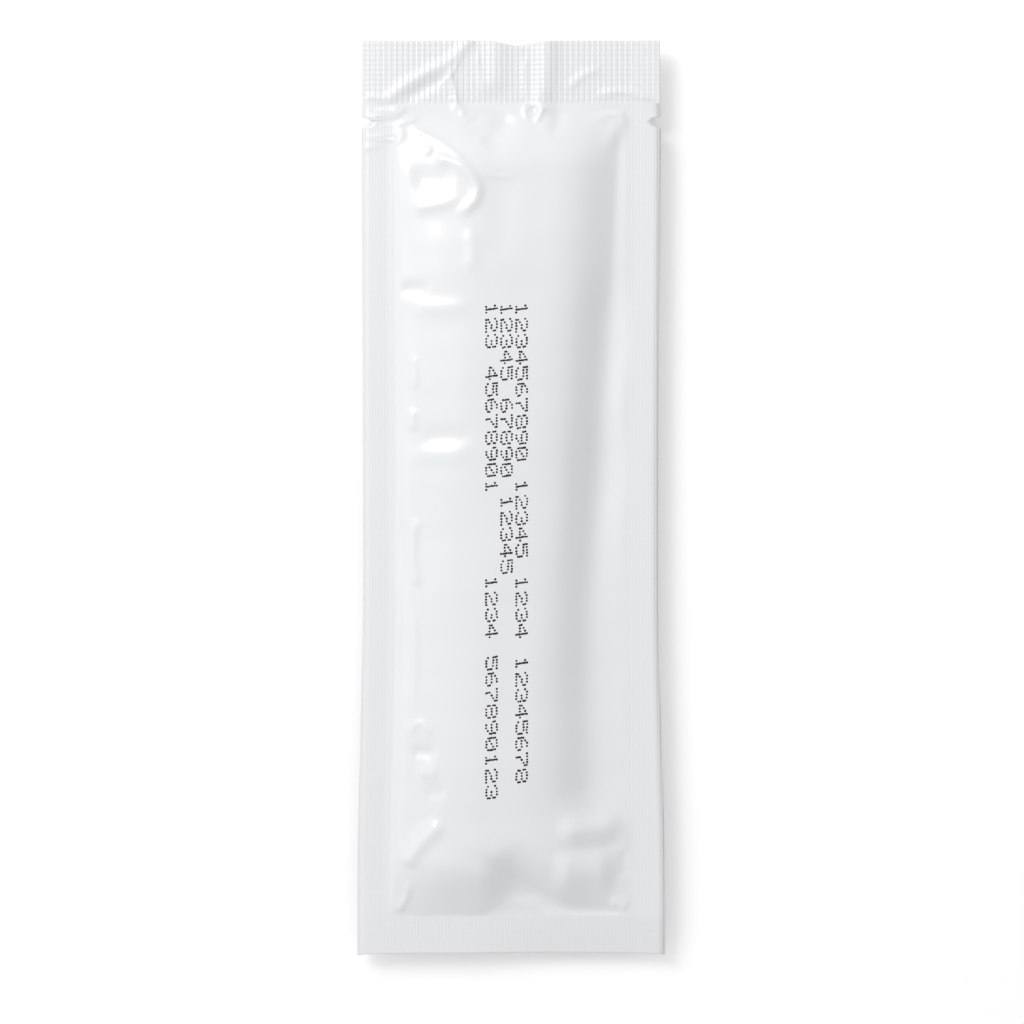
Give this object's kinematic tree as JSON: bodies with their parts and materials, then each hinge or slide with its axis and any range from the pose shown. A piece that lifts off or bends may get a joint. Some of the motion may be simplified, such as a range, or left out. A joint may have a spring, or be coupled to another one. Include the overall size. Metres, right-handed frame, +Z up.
{
  "type": "sealed test kit pouch",
  "caption": "Slim white laminate pouch with ribbed end seal, flat side and foot seals, tear notches and a creased pillow over its contents.",
  "frame": {"origin": "on the table, under the middle of the pouch's box", "axes": "+Y along the pouch to its ribbed end seal with the tear notches, +Z up through its thickness from the table, X across it"},
  "size_m": [0.0662, 0.1964, 0.0121],
  "materials": {
    "laminate": "glossy white polyester over foil, heat sealed"
  },
  "bodies": {
    "root": {"sealed_pouch": "laminate"}
  },
  "joints": []
}
